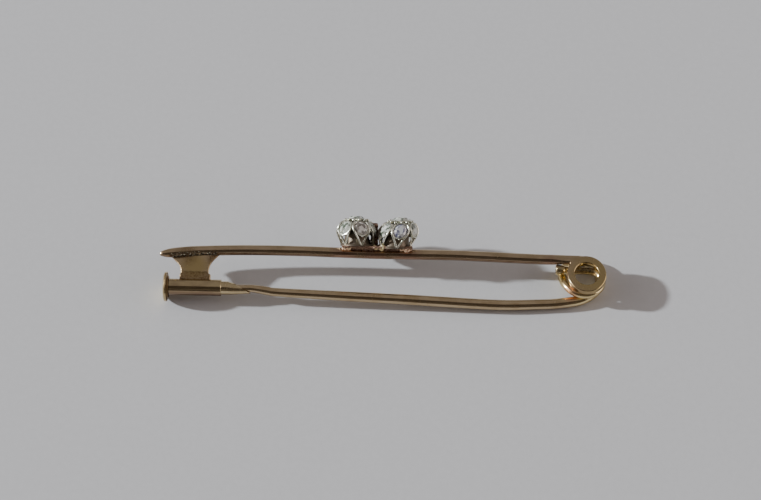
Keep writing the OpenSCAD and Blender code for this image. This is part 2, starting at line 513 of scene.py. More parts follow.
def smooth_rows(rows: Sequence[Row], cuts: int) -> list[Row]:
    """Puts smooth rows between the rows of a table.

    Args:
        rows: the table.
        cuts: how many parts each step is cut into.

    Returns:
        The longer table.
    """
    made: list[Row] = []
    for i in range(len(rows) - 1):
        near = rows[max(i - 1, 0)], rows[i], rows[i + 1], rows[min(i + 2, len(rows) - 1)]
        for k in range(cuts):
            made.append(tuple(between(*column, k / cuts) for column in zip(*near)))
    made.append(tuple(rows[-1]))
    return made


def ease(low: float, high: float, at: float) -> float:
    """A share that eases from 0 at low to 1 at high."""
    t = min(1.0, max(0.0, (at - low) / (high - low)))
    return t * t * (3 - 2 * t)


def bar_height(share: float) -> float:
    """Height of the bar's axis where a share of its drop is done."""
    return BAR_HIGH + (BAR_LOW - BAR_HIGH) * share


def rounded_band(inner: float, outer: float, thickness: float, corner: float) -> list[Row]:
    """The outline of a flat ring's section with rounded corners.

    Args:
        inner: the hole's radius.
        outer: the rim's radius.
        thickness: the height of the band.
        corner: the radius of its corners.

    Returns:
        Its corners as radius and height.
    """
    low, high = corner - thickness / 2, thickness / 2 - corner
    near, far = inner + corner, outer - corner
    made = []
    for x, y, start in ((far, low, -90), (far, high, 0), (near, high, 90), (near, low, 180)):
        for step in range(5):
            a = math.radians(start + 22.5 * step)
            made.append((x + corner * math.cos(a), y + corner * math.sin(a)))
    return made


class Bench:
    """The modelling operators, each on one piece at a time."""

    @staticmethod
    def clear() -> None:
        """Leaves nothing selected."""
        if bpy.context.object and bpy.context.object.mode != "OBJECT":
            bpy.ops.object.mode_set(mode="OBJECT")
        bpy.ops.object.select_all(action="DESELECT")

    @staticmethod
    def pick(piece: Piece) -> None:
        """Selects one piece and makes it active.

        Args:
            piece: the piece.
        """
        Bench.clear()
        piece.select_set(True)
        bpy.context.view_layer.objects.active = piece

    @staticmethod
    def start(operator: Callable, **settings: object) -> Piece:
        """Adds a primitive with nothing else selected.

        Args:
            operator: the operator that adds it.
            settings: the operator's settings.

        Returns:
            The new piece.
        """
        Bench.clear()
        operator(**settings)
        return bpy.context.object

    @staticmethod
    def edit(piece: Piece) -> None:
        """Opens a piece for editing with all of it selected.

        Args:
            piece: the piece.
        """
        Bench.pick(piece)
        bpy.ops.object.mode_set(mode="EDIT")
        bpy.ops.mesh.select_all(action="SELECT")

    @staticmethod
    def close() -> None:
        """Goes back to object mode."""
        bpy.ops.object.mode_set(mode="OBJECT")

    @staticmethod
    def tidy(piece: Piece) -> None:
        """Merges doubles and turns the faces outwards.

        Args:
            piece: the piece.
        """
        Bench.edit(piece)
        bpy.ops.mesh.remove_doubles(threshold=MERGE)
        bpy.ops.mesh.normals_make_consistent(inside=False)
        Bench.close()

    @staticmethod
    def apply(piece: Piece, kind: str, **settings: object) -> None:
        """Adds a modifier and applies it.

        Args:
            piece: the piece.
            kind: the modifier's type.
            settings: the modifier's settings.
        """
        Bench.pick(piece)
        made = piece.modifiers.new(kind.lower(), kind)
        for key, value in settings.items():
            setattr(made, key, value)
        bpy.ops.object.modifier_apply(modifier=made.name)

    @staticmethod
    def soften(piece: Piece, degrees: float) -> None:
        """Shades smooth, with an edge kept where faces meet at more than an angle."""
        Bench.pick(piece)
        bpy.ops.object.shade_smooth_by_angle(angle=math.radians(degrees))

    @staticmethod
    def copy(piece: Piece, place: Matrix) -> Piece:
        """Copies a piece with its mesh.

        Args:
            piece: the pattern.
            place: where the copy goes.

        Returns:
            The copy.
        """
        made = piece.copy()
        made.data = piece.data.copy()
        bpy.context.scene.collection.objects.link(made)
        made.data.transform(place)
        return made

    @staticmethod
    def join(pieces: Sequence[Piece]) -> Piece:
        """Joins pieces into the first of them.

        Args:
            pieces: the pieces.

        Returns:
            The joined piece.
        """
        Bench.clear()
        for piece in pieces:
            piece.select_set(True)
        bpy.context.view_layer.objects.active = pieces[0]
        bpy.ops.object.join()
        return pieces[0]

    @staticmethod
    def drop(piece: Piece) -> None:
        """Deletes a pattern that copies were made from."""
        bpy.data.objects.remove(piece, do_unlink=True)

    @staticmethod
    def wire(points: Sequence[Row], resolution: int) -> Piece:
        """A round wire along rows of x, y, z and radius.

        Args:
            points: the rows.
            resolution: how finely it is rounded, as the curve's bevel resolution.

        Returns:
            The wire as a closed mesh.
        """
        shape = Bench.start(bpy.ops.curve.primitive_nurbs_path_add).data
        shape.splines.clear()
        line = shape.splines.new("POLY")
        line.points.add(len(points) - 1)
        for point, (x, y, z, r) in zip(line.points, points):
            point.co = (x, y, z, 1.0)
            point.radius = r
        shape.dimensions = "3D"
        shape.twist_mode = "MINIMUM"
        shape.bevel_depth = 1.0
        shape.bevel_resolution = resolution
        shape.use_fill_caps = True
        bpy.ops.object.convert(target="MESH")
        piece = bpy.context.object
        Bench.tidy(piece)
        Bench.soften(piece, 50.0)
        return piece

    @staticmethod
    def lathe(profile: Sequence[Row], steps: int, degrees: float) -> Piece:
        """Spins a closed outline of radius and height round the Z axis.

        Args:
            profile: the outline's corners.
            steps: faces round the turn.
            degrees: the sharpest angle that is shaded smooth.

        Returns:
            The turned piece.
        """
        piece = Bench.start(bpy.ops.mesh.primitive_circle_add, vertices=len(profile), radius=1.0)
        for vertex, (radius, height) in zip(piece.data.vertices, profile):
            vertex.co = (radius, 0.0, height)
        Bench.edit(piece)
        bpy.ops.mesh.spin(steps=steps, angle=math.tau, center=(0, 0, 0), axis=(0, 0, 1))
        bpy.ops.mesh.select_all(action="SELECT")
        bpy.ops.mesh.remove_doubles(threshold=MERGE)
        bpy.ops.mesh.dissolve_degenerate(threshold=MERGE / 10)
        bpy.ops.mesh.delete_loose(use_verts=True, use_edges=True, use_faces=False)
        bpy.ops.mesh.select_all(action="SELECT")
        bpy.ops.mesh.normals_make_consistent(inside=False)
        Bench.close()
        Bench.soften(piece, degrees)
        return piece

    @staticmethod
    def mark_painted_shade(piece: Piece) -> None:
        """Writes how far each point of a piece looks down, where shade is painted.

        Args:
            piece: the piece, in its place.
        """
        layer = piece.data.attributes.new("under", "FLOAT", "POINT")
        for vertex, item in zip(piece.data.vertices, layer.data):
            item.value = ease(0.15, 0.75, -vertex.normal.dot(UNSHADED_SIDE))

    @staticmethod
    def bead(at: Sequence[float], radius: float, rough: float, seed: int, flat: float) -> Piece:
        """A small uneven bead of metal.

        Args:
            at: its centre.
            radius: its radius.
            rough: how far its points stray, as a share of the radius.
            seed: the seed of the strays.
            flat: its height as a share of its width.

        Returns:
            The bead.
        """
        piece = Bench.start(bpy.ops.mesh.primitive_ico_sphere_add, subdivisions=2, radius=radius)
        Bench.edit(piece)
        bpy.ops.transform.vertex_random(offset=radius * rough, uniform=0.4, normal=0.6, seed=seed)
        bpy.ops.transform.resize(value=(1.0, 1.0, flat))
        Bench.close()
        Bench.apply(piece, "SUBSURF", levels=1, render_levels=1)
        piece.data.transform(Matrix.Translation(Vector(at)))
        Bench.soften(piece, 80.0)
        return piece


def finish_piece(
    piece: Piece, name: str, material: Material,
    stands_for: Sequence[str] = (), body: str = BODY,
) -> None:
    """Turns a piece into metres, names it and ties it to its body.

    Args:
        piece: the piece, in millimetres.
        name: its name.
        material: its finish.
        stands_for: the solids that it is shown instead of.
        body: the body that it rides on.
    """
    piece.data.transform(Matrix.Scale(MM, 4) @ Matrix.Translation(FOOTPRINT))
    piece.name = name
    piece.data.name = name
    piece.data.materials.clear()
    piece.data.materials.append(material)
    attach(piece, body)
    if stands_for:
        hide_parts(*stands_for)
    LOG.info("%s: %d faces, on %s", name, len(piece.data.polygons), body)


# ---- sub-assemblies


@dataclass
class Bar:
    """The round bar with its tip, its flat eye, the catch plate and the fixed tube."""

    radius: float = 0.7
    flattening: float = 0.36
    flat_span: Pair = (22.4, 24.8)
    eye_centre: Pair = (27.28, -2.42)
    eye_outer: float = 2.76
    eye_hole: float = 1.66
    eye_stretch: Point = (0.955, 1.05, 1.0)
    eye_thickness: float = 0.9
    eye_corner: float = 0.17
    tube_radius: float = 1.1
    tube_bore: float = 0.94
    tube_rim: float = 0.045
    tube_span: Pair = (-28.51, -21.50)
    plate_thickness: float = 0.6
    plate_edge: float = 0.09
    wing_edges: Pair = (-26.6, -23.2)
    wing_slopes: Pair = (0.16, 0.30)
    foot_middle: Point = (-25.08, 1.36, 0.0)
    foot_size: Point = (4.16, 0.9, 0.78)
    foot_edge: float = 0.12
    # start and length
    seam_span: Pair = (-28.2, 5.8)
    footing_span: Pair = (-5.35, 9.1)
    shade_column_span: Pair = (0.95, 2.95)
    # across at the start, and change per millimetre
    seam_line: Pair = (-0.68, 0.0862)
    seam_reach: float = 0.68
    weld_cell: float = 0.075
    # along, across, share of the drop, share of the radius
    rows: Table = (
        (-30.02, -0.96, 0.0, 0.1), (-29.97, -0.95, 0.0, 0.24), (-29.85, -0.94, 0.0, 0.4),
        (-29.55, -0.9, 0.0, 0.6), (-29.0, -0.84, 0.0, 0.8), (-28.2, -0.73, 0.0, 0.94),
        (-26.8, -0.56, 0.01, 1.0), (-24.5, -0.32, 0.03, 1.0), (-18.5, 0.02, 0.14, 1.0),
        (-11.1, 0.13, 0.28, 1.0), (-5.7, 0.07, 0.39, 1.0), (-0.4, 0.05, 0.49, 1.0),
        (9.0, 0.18, 0.68, 1.0), (13.0, 0.12, 0.76, 1.0), (21.1, -0.06, 0.92, 1.0),
        (24.2, 0.0, 0.98, 0.99), (25.6, 0.02, 1.0, 0.96), (26.6, 0.02, 1.0, 0.92),
        (27.5, -0.14, 1.0, 0.8), (28.2, -0.48, 1.0, 0.7), (28.8, -0.95, 1.0, 0.6),
        (29.2, -1.5, 1.0, 0.5),
    )
    # distance from the tube's axis, left edge, right edge, bend out of the plane
    plate_rows: Table = (
        (0.98, -27.15, -23.13, 0.0), (1.25, -27.13, -23.15, 0.0), (1.9, -27.04, -23.26, 0.02),
        (2.2, -27.03, -23.28, 0.06), (2.5, -27.06, -23.28, 0.07), (3.1, -27.38, -23.12, 0.05),
        (3.6, -27.86, -22.86, 0.02), (4.05, -28.26, -22.5, 0.0), (4.45, -28.44, -22.16, 0.0),
        (4.8, -28.5, -22.02, 0.0),
    )

    def rod(self) -> Piece:
        """The bar, whose flattened end runs into the eye.

        Returns:
            The bar.
        """
        path = [
            (x, y, bar_height(drop), self.radius * share)
            for x, y, drop, share in smooth_rows(self.rows, 8)
        ]
        piece = Bench.wire(path, 10)
        for vertex in piece.data.vertices:
            flat = 1.0 - self.flattening * ease(*self.flat_span, vertex.co.x)
            vertex.co.z = BAR_LOW + (vertex.co.z - BAR_LOW) * flat
        return piece

    def eye(self) -> Piece:
        """The flat eye with eased edges.

        Returns:
            The eye, in its place.
        """
        profile = rounded_band(
            self.eye_hole, self.eye_outer, self.eye_thickness, self.eye_corner,
        )
        piece = Bench.lathe(profile, 96, 40.0)
        place = Matrix.Translation((*self.eye_centre, BAR_LOW))
        piece.data.transform(place @ Matrix.Diagonal((*self.eye_stretch, 1)))
        return piece

    def plate(self) -> Piece:
        """The waisted plate, with a slight bend above the tube.

        Returns:
            The plate, in its place.
        """
        rows = smooth_rows(self.plate_rows, 3)
        columns = 9
        piece = Bench.start(
            bpy.ops.mesh.primitive_grid_add,
            x_subdivisions=columns - 1, y_subdivisions=len(rows) - 1, size=1.0,
        )
        (near, far), (near_slope, far_slope) = self.wing_edges, self.wing_slopes
        for index, vertex in enumerate(piece.data.vertices):
            distance, left, right, bend = rows[index // columns]
            x = left + (right - left) * (index % columns) / (columns - 1)
            wings = near_slope * max(0.0, near - x) + far_slope * max(0.0, x - far)
            vertex.co = (x, distance, bend - wings)
        Bench.apply(piece, "SOLIDIFY", thickness=self.plate_thickness, offset=0.0)
        Bench.tidy(piece)
        sharp = {"limit_method": "ANGLE", "angle_limit": math.radians(50)}
        Bench.apply(piece, "BEVEL", width=self.plate_edge, segments=3, **sharp)
        Bench.soften(piece, 40.0)
        piece.data.transform(self.plate_place())
        return piece

    def plate_place(self) -> Matrix:
        """The slope of the plate, from the tube up to the bar.

        Returns:
            The matrix that puts the flat plate there.
        """
        top_y, top_z = -0.34, BAR_HIGH - 0.02
        rise = math.atan2(top_z - TUBE_Z, top_y - TUBE_Y)
        return Matrix.Translation((0, TUBE_Y, TUBE_Z)) @ Matrix.Rotation(rise, 4, "X")

    def foot(self) -> Piece:
        """The thicker strip of the plate beside the tube.

        Returns:
            The strip, in its place.
        """
        piece = Bench.start(bpy.ops.mesh.primitive_cube_add, size=1.0)
        middle, size = Matrix.Translation(self.foot_middle), Matrix.Diagonal((*self.foot_size, 1))
        piece.data.transform(middle @ size)
        Bench.apply(piece, "BEVEL", width=self.foot_edge, segments=3)
        piece.data.transform(self.plate_place())
        return piece

    def tube(self) -> Piece:
        """The fixed tube, with its two rims eased.

        Returns:
            The tube, in its place.
        """
        left, right = self.tube_span
        e, r, bore = self.tube_rim, self.tube_radius, self.tube_bore
        profile = [
            (bore, left + e), (bore + e, left), (r - e, left), (r, left + e), (r, left + 1.2),
            (r, right - 1.2), (r, right - e), (r - e, right), (bore + e, right), (bore, right - e),
        ]
        piece = Bench.lathe(profile, 72, 30.0)
        piece.data.transform(Matrix.Translation((0, TUBE_Y, TUBE_Z)) @ LAID)
        return piece

    def solder_seam(self) -> Piece:
        """Lumpy old solder along the foot of the plate, under the bar.

        Returns:
            The beads of the seam, joined.
        """
        draw = random.Random(7)
        (start, length), (across, slope) = self.seam_span, self.seam_line
        steps, layers = 40, 3
        beads = []
        for step in range(steps):
            x = start + length * step / (steps - 1)
            middle = across + slope * (x - start)
            for layer in range(layers):
                angle = math.radians(52 + 22 * layer + draw.uniform(-12, 12))
                at = (
                    x + draw.uniform(-0.08, 0.08),
                    middle - self.seam_reach * math.sin(angle),
                    BAR_HIGH + self.seam_reach * math.cos(angle),
                )
                size = draw.uniform(0.05, 0.09) if layer == 0 else draw.uniform(0.07, 0.15)
                beads.append(Bench.bead(at, size, 0.35, step * layers + layer, 0.8))
        return Bench.join(beads)

    @staticmethod
    def on_bar(x: float, height: float, front: float) -> Vector:
        """A point over the bar.

        Args:
            x: its place along the bar.
            height: its way towards the stones.
            front: its way to the front.

        Returns:
            The point.
        """
        # The cosine and the sine of the clusters' lean, and the bar's axis under them.
        across, up = 0.819, 0.574
        middle = (0.05, bar_height(0.45))
        y = middle[0] + across * height - up * front
        return Vector((x, y, middle[1] + up * height + across * front))

    def footing(self) -> Piece:
        """Brown old solder under the two base rings and up between the clusters, where the column
        stands in for their shade.

        Returns:
            The beads of the footing, joined.
        """
        draw = random.Random(11)
        beads = []
        (start, length), steps = self.footing_span, 38
        for step in range(steps):
            x = start + length * step / (steps - 1)
            for height, front in ((0.60, 0.45), (0.80, 0.9), (0.86, 1.4), (0.88, 1.85)):
                at = self.on_bar(x, height + draw.uniform(-0.06, 0.06), front)
                beads.append(Bench.bead(at, draw.uniform(0.17, 0.22), 0.25, 200 + step, 0.9))
        # A column of dark solder between the clusters, standing in for the shade of their facing
        # flanks.
        (low, rise), steps = self.shade_column_span, 14
        for step in range(steps):
            height = low + rise * step / (steps - 1)
            for side in (-0.22, 0.22):
                at = self.on_bar(-1.14 - 0.012 * step + side, height, draw.uniform(-0.3, 0.1))
                beads.append(Bench.bead(at, draw.uniform(0.26, 0.36), 0.3, 300 + step, 1.0))
        return Bench.join(beads)

    def mounds(self) -> Piece:
        """Runs of gold solder where the clusters stand on the bar.

        Returns:
            The beads of the runs, joined.
        """
        table = (
            # along, height, front, radius, flat
            (-5.35, 0.6, 0.75, 0.22, 0.9), (-5.05, 0.74, 1.0, 0.28, 0.9),
            (-4.7, 0.82, 1.25, 0.28, 0.9), (-4.36, 0.9, 1.45, 0.24, 1.0),
            (-4.1, 0.88, 1.5, 0.14, 1.0), (-1.12, 0.96, 1.5, 0.22, 1.0),
            (-0.85, 0.92, 1.6, 0.17, 0.9), (-0.42, 0.84, 1.45, 0.28, 1.0),
            (-0.05, 0.96, 1.75, 0.32, 1.1), (0.24, 0.86, 1.5, 0.22, 1.0),
            (2.3, 0.92, 1.6, 0.19, 1.0), (2.62, 0.86, 1.5, 0.25, 1.0), (2.95, 0.7, 1.3, 0.32, 0.9),
            (3.32, 0.54, 1.0, 0.3, 0.8), (3.6, 0.66, 0.8, 0.22, 0.8), (-5.0, 0.6, 0.7, 0.3, 0.9),
            (-4.6, 0.66, 0.9, 0.3, 0.9), (-0.2, 0.7, 1.0, 0.36, 0.9), (-0.9, 0.74, 1.0, 0.28, 0.9),
            (2.5, 0.66, 1.0, 0.3, 0.9), (3.0, 0.56, 0.8, 0.32, 0.9),
        )
        beads = [
            Bench.bead(self.on_bar(x, height, front), r, 0.22, 60 + n, flat)
            for n, (x, height, front, r, flat) in enumerate(table)
        ]
        return Bench.join(beads)

    def build(self) -> None:
        """Makes and dresses the bar's pieces."""
        heads = ((-5.2, 0.0, 3.4, 0.5, 2.6), (-1.2, 0.0, 3.4, 0.5, 2.6), (3.2, 0.0, 3.3, 0.6, 2.8))
        foot_film = ((x, -3.85, 2.75, 0.62, 0.75) for x in (-26.5, -25.6, -24.7, -23.8))
        gold = GoldFinish(
            "bar_gold",
            copper_spots=heads + ((22.4, -0.5, 2.6, 0.6, 1.9),),
            stain_and_shade_spots=(
                (-26.4, -0.9, 3.4, 0.3, 2.2), (-22.6, -1.3, 3.4, 0.5, 1.3),
                # Painted shade: these two spots dull the highlight on the plate's left edge.
                (-27.2, -3.6, 2.5, 0.45, 0.8), (-27.1, -2.8, 2.8, 0.3, 0.7), *foot_film,
                (23.6, -0.9, 2.6, 0.1, 1.3), (-1.0, -0.4, 2.6, 0.3, 3.4),
            ),
            rich_spots=((-25.2, -2.4, 2.9, 0.9, 2.4), (28.0, -2.7, 3.2, 1.6, 4.2)),
        ).material()
        rod = Bench.join([self.rod(), self.eye(), self.plate(), self.foot()])
        Bench.apply(rod, "REMESH", mode="VOXEL", voxel_size=self.weld_cell)
        Bench.apply(rod, "SMOOTH", factor=0.5, iterations=5)
        Bench.soften(rod, 80.0)
        Bench.mark_painted_shade(rod)
        finish_piece(rod, "bar_rod", gold, ("bar",))
        tube_gold = GoldFinish(
            "tube_gold", bright=(0.66, 0.53, 0.30), grain=(0.5, 2.0, 2.0), smooth=0.10, worn=0.16,
        ).material()
        tube = self.tube()
        Bench.mark_painted_shade(tube)
        finish_piece(tube, "catch_tube", tube_gold)
        finish_piece(self.solder_seam(), "catch_solder", SolderFinish().material())
        # Painted light: the runs' colour is raised above the gold so they look lit in the shade
        # under the rings.
        mound_gold_painted_bright = GoldFinish(
            "solder_gold_painted_bright", bright=(1.0, 0.86, 0.50), dull=(0.90, 0.70, 0.36),
            copper=(0.98, 0.66, 0.48), smooth=0.3, worn=0.42, under_shade=0.0, metal=0.55,
            copper_spots=((3.1, -0.2, 4.1, 0.8, 1.8), (-5.2, 0.0, 4.1, 0.5, 1.3)),
        ).material()
        finish_piece(self.mounds(), "cluster_solder", mound_gold_painted_bright)
        # Partly painted: this brown is lightened against the shade under the rings, and its column
        # stands in for shade.
        brown_and_shade = SolderFinish(
            "brown_solder", dark=(0.20, 0.11, 0.07), pale=(0.52, 0.35, 0.24), metal=0.4,
        ).material()
        finish_piece(self.footing(), "cluster_footing", brown_and_shade)


@dataclass
class Pin:
    """The springy wire: the stem, the coil and the stub that bears on the bar."""

    # along, across, height, radius
    stem: Table = (
        (-21.6, -5.12, 2.0, 0.1), (-21.4, -5.12, 2.0, 0.26), (-21.0, -5.12, 2.0, 0.38),
        (-20.2, -5.12, 2.0, 0.46), (-18.7, -5.12, 2.0, 0.48), (-17.4, -5.12, 2.0, 0.51),
        (-16.4, -5.22, 1.95, 0.55), (-15.2, -5.38, 1.87, 0.57), (-13.8, -5.5, 1.8, 0.58),
        (-5.75, -5.67, 1.55, 0.66), (2.3, -5.81, 1.3, 0.7), (7.7, -5.94, 1.12, 0.71),
        (15.7, -6.08, 0.86, 0.71), (21.1, -5.76, 0.73, 0.7),
    )
    coil: Table = (
        (23.17, -5.58, 0.7, 0.7), (25.04, -5.27, 0.7, 0.7), (26.35, -4.95, 0.7, 0.7),
        (27.4, -4.42, 0.7, 0.7), (28.33, -3.68, 0.7, 0.7), (29.03, -2.72, 0.7, 0.7),
        (29.32, -1.65, 0.7, 0.7), (29.2, -0.55, 0.7, 0.7), (28.65, 0.4, 0.7, 0.7),
        (27.75, 1.05, 0.7, 0.7), (26.7, 1.3, 0.7, 0.7), (25.65, 1.08, 0.72, 0.68),
        (24.8, 0.42, 0.8, 0.65), (24.28, -0.5, 0.96, 0.61), (24.17, -1.55, 1.22, 0.58),
        (24.32, -2.65, 1.56, 0.55), (24.75, -3.6, 1.85, 0.53), (25.45, -4.35, 1.98, 0.53),
        (26.35, -4.8, 2.01, 0.53), (27.4, -4.86, 2.01, 0.53), (28.4, -4.45, 2.01, 0.53),
        (29.15, -3.6, 2.01, 0.53), (29.38, -2.55, 2.01, 0.53), (29.05, -1.6, 2.0, 0.53),
        (28.3, -1.05, 1.95, 0.53), (27.3, -0.92, 1.92, 0.53), (26.2, -0.95, 1.94, 0.53),
        (25.2, -1.02, 2.0, 0.54), (24.5, -1.06, 2.12, 0.58), (24.1, -1.14, 2.22, 0.68),
        (23.6, -1.16, 2.28, 0.72), (23.36, -1.16, 2.28, 0.7), (23.25, -1.16, 2.28, 0.62),
        (23.21, -1.16, 2.28, 0.46),
    )

    def build(self) -> None:
        """Makes and dresses the wire."""
        wire = Bench.wire(smooth_rows(self.stem + self.coil, 6), 10)
        Bench.mark_painted_shade(wire)
        gold = GoldFinish(
            "pin_gold", under_shade=0.3, bright=(0.72, 0.57, 0.36), dull=(0.54, 0.40, 0.22),
            # Painted shade: the second spot darkens the inside of the eye's hole.
            stain_and_shade_spots=((23.7, -1.1, 2.4, 0.3, 1.3), (26.9, -0.5, 1.6, 1.6, 2.2)),
            copper_spots=((25.2, -4.6, 1.8, 0.7, 1.5), (25.0, -0.6, 1.6, 0.2, 1.0)),
            rich_spots=((26.8, -2.0, 1.4, 3.0, 5.0),),
            copper=(0.66, 0.36, 0.20), rich=(0.92, 0.74, 0.38), film_and_shade=(0.07, 0.045, 0.025),
        ).material()
        finish_piece(wire, "pin_wire", gold, ("pin",))


@dataclass
class Sleeve:
    """The sliding sleeve with its thumb disc and tapered nose."""

    radius: float = 0.9
    disc_radius: float = 1.998
    disc_span: Pair = (-29.19, -28.56)
    bore: float = 0.6
    nose: float = 1.9
    mouth_middle: float = -18.70
    mouth_tilt: Pair = (1.42, 0.99)

    def build(self) -> None:
        """Makes and dresses the sleeve."""
        w0, w1 = self.disc_span
        r, big, n, bore = self.radius, self.disc_radius, self.mouth_middle, self.bore
        profile = [
            (0.0, w0 + 0.1), (0.9, w0 + 0.1), (1.35, w0 + 0.05), (1.6, w0), (big - 0.2, w0 + 0.02),
            (big - 0.07, w0 + 0.08), (big, w0 + 0.17), (big, w0 + 0.24), (big - 0.04, w0 + 0.28),
            (big - 0.04, w0 + 0.32), (big - 0.01, w0 + 0.35), (big - 0.02, w0 + 0.42),
            (big - 0.12, w0 + 0.45), (big - 0.52, w0 + 0.46), (big - 0.55, w1 - 0.04),
            (big - 0.6, w1), (r, w1), (r, n - self.nose), (0.895, n - 1.75), (0.86, n - 1.5),
            (0.81, n - 1.1), (0.76, n - 0.7), (0.72, n - 0.35), (0.7, n - 0.15), (0.69, n - 0.04),
            (0.65, n), (0.61, n - 0.02), (bore, n - 0.06), (bore, n - 0.7), (bore, n - 1.4),
            (bore, n - 3.2), (0.0, n - 3.3),
        ]
        piece = Bench.lathe(profile, 80, 28.0)
        piece.data.transform(LAID)
        across, up = self.mouth_tilt
        for vertex in piece.data.vertices:
            share = max(0.0, 1.0 - (n - vertex.co.x) / self.nose)
            vertex.co.x -= share * (across * vertex.co.y + up * vertex.co.z)
        piece.data.transform(Matrix.Translation((0, TUBE_Y, TUBE_Z)))
        Bench.mark_painted_shade(piece)
        gold = GoldFinish(
            "sleeve_gold", bright=(0.76, 0.62, 0.36), dull=(0.64, 0.50, 0.28),
            grain=(3.0, 3.0, 3.0), smooth=0.16, worn=0.26, under_shade=0.25,
            # Painted shade on the neck between the disc and the tube.
            painted_shade_band=(w0 + 0.44, w1 + 0.05),
        ).material()
        finish_piece(piece, "catch_sleeve_disc", gold, ("sleeve",), SLEEVE_BODY)


def spot(angle: float, distance: float, height: float) -> Vector:
    """A point of a cluster from its angle, distance and height."""
    a = math.radians(angle)
    return Vector((distance * math.cos(a), distance * math.sin(a), height))


@dataclass
class Cluster:
    """One daisy of seven stones in its white setting."""

    side: Side
    petal_tilt: float = 66.0
    petal_ring: float = 2.2
    petal_height: float = 3.385
    petal_stone: float = 0.94
    petal_lip: float = 0.01
    petal_depth: float = 0.72
    centre_stone: float = 1.2
    centre_height: float = 4.58
    centre_lip: float = 0.14
    centre_depth: float = 0.85
    # along, across, share of the bar's drop, lean, turn, slant along the bar
    places: Table = (
        (-3.52, 0.06, 0.44, 36.0, 47.0, -0.05), (1.62, 0.07, 0.54, 42.0, 36.0, 0.19),
    )
    # turn from the foot, distance, height, radius
    claw_rows: Table = (
        (2, 2.14, 1.12, 0.16), (8, 2.28, 1.7, 0.14), (15, 2.5, 2.3, 0.14), (21, 2.66, 2.85, 0.14),
        (25.5, 2.58, 3.3, 0.14), (27, 2.37, 3.74, 0.14), (26, 2.14, 4.06, 0.135),
        (24, 2.01, 4.2, 0.11), (23, 1.97, 4.23, 0.05),
    )
    base_low: float = 0.96
    base_high: float = 1.28
    base_inner: float = 1.8
    base_outer: float = 2.3
    darkening_top: float = 2.6
    petals: int = 6
    stone_turn: float = 0.37
    table_area: float = 0.25
    # Painted glints: the brightness of the table and the choices for the other facets.
    table_painted_glint: float = 0.72
    cool_stones: tuple[tuple[int, ...], ...] = ((), (2, 5))
    painted_glint_levels: tuple[float, ...] = (0.0, 0.2, 0.5, 0.85, 1.0)

    def stand(self) -> Matrix:
        """The cluster's place on the bar.

        Returns:
            The matrix that puts the cluster there.
        """
        x, y, share, lean, turn, slant = self.places[self.side.value]
        shear = Matrix.Identity(4)
        shear[0][2], shear[0][3] = slant, -slant * self.base_high
        return (
            Matrix.Translation((x, y, bar_height(share)))
            @ Matrix.Rotation(math.radians(lean - 90), 4, "X")
            @ shear
            @ Matrix.Rotation(math.radians(turn), 4, "Z")
        )

    def seat(self, petal: int) -> Matrix:
        """The seat of an outer stone, in the cluster.

        Args:
            petal: the number of the stone, from 0.

        Returns:
            The matrix that puts the stone there.
        """
        return (
            Matrix.Rotation(math.tau * petal / self.petals, 4, "Z")
            @ Matrix.Translation((self.petal_ring, 0, self.petal_height))
            @ Matrix.Rotation(math.radians(self.petal_tilt), 4, "Y")
        )

    def collet(self, stone: float, rim: float, depth: float) -> Piece:
        """The flared cup of one stone, with a rolled lip.

        Args:
            stone: the stone's radius.
            rim: the radius of the lip.
            depth: how far the cup reaches down.

        Returns:
            The cup, round the origin.
        """
        profile = [
            (stone * 0.54, -depth), (stone * 0.70, -depth), (stone * 0.74, -depth + 0.05),
            (rim * 0.90, -0.30), (rim, -0.04), (rim + 0.01, 0.03), (rim - 0.03, 0.085),
            (stone + 0.06, 0.1), (stone + 0.02, 0.07), (stone + 0.02, -0.04),
            (stone * 0.86, -0.26),
        ]
        return Bench.lathe(profile, 40, 40.0)

    def base(self) -> Piece:
        """The base ring that is soldered to the bar.

        Returns:
            The ring.
        """
        low, high = self.base_low, self.base_high
        inner, outer = self.base_inner, self.base_outer
        profile = [
            (inner, low), (outer - 0.06, low), (outer, low + 0.07), (outer - 0.03, low + 0.15),
            (outer, low + 0.23), (outer - 0.05, high), (inner + 0.05, high), (inner, high - 0.06),
        ]
        return Bench.lathe(profile, 64, 35.0)

    def gallery(self) -> Piece:
        """The thin wall that closes the cluster behind the claws.

        Returns:
            The wall.
        """
        low, high, wall = (1.9, 1.08), (1.16, self.centre_height - 0.6), 0.16
        profile = [(low[0] - wall, low[1]), low, high, (high[0] - wall, high[1])]
        return Bench.lathe(profile, 48, 40.0)

    def claws(self, petal: int) -> list[Piece]:
        """The two wires that rise from one foot to the sides of a petal.

        Args:
            petal: the number of the petal, from 0.

        Returns:
            The two wires.
        """
        foot = 360 * petal / self.petals
        return [
            Bench.wire(smooth_rows([
                (*spot(foot + side * turn, distance, height), radius)
                for turn, distance, height, radius in self.claw_rows
            ], 4), 3)
            for side in (-1, 1)
        ]

    def grains(self) -> list[Piece]:
        """Beads of metal that hold the stones where they meet.

        Returns:
            The beads.
        """
        top, rough, flat = self.centre_height, 0.12, 0.9
        kinds = (
            # turn, distance, height, radius, first seed
            (0, 1.5, top - 0.07, 0.205, 10), (30, 1.6, top - 0.15, 0.225, 20),
            (0, 2.72, 2.34, 0.12, 30),
        )
        return [
            Bench.bead(spot(360 * k / self.petals + turn, away, height), r, rough, seed + k, flat)
            for k in range(self.petals) for turn, away, height, r, seed in kinds
        ]

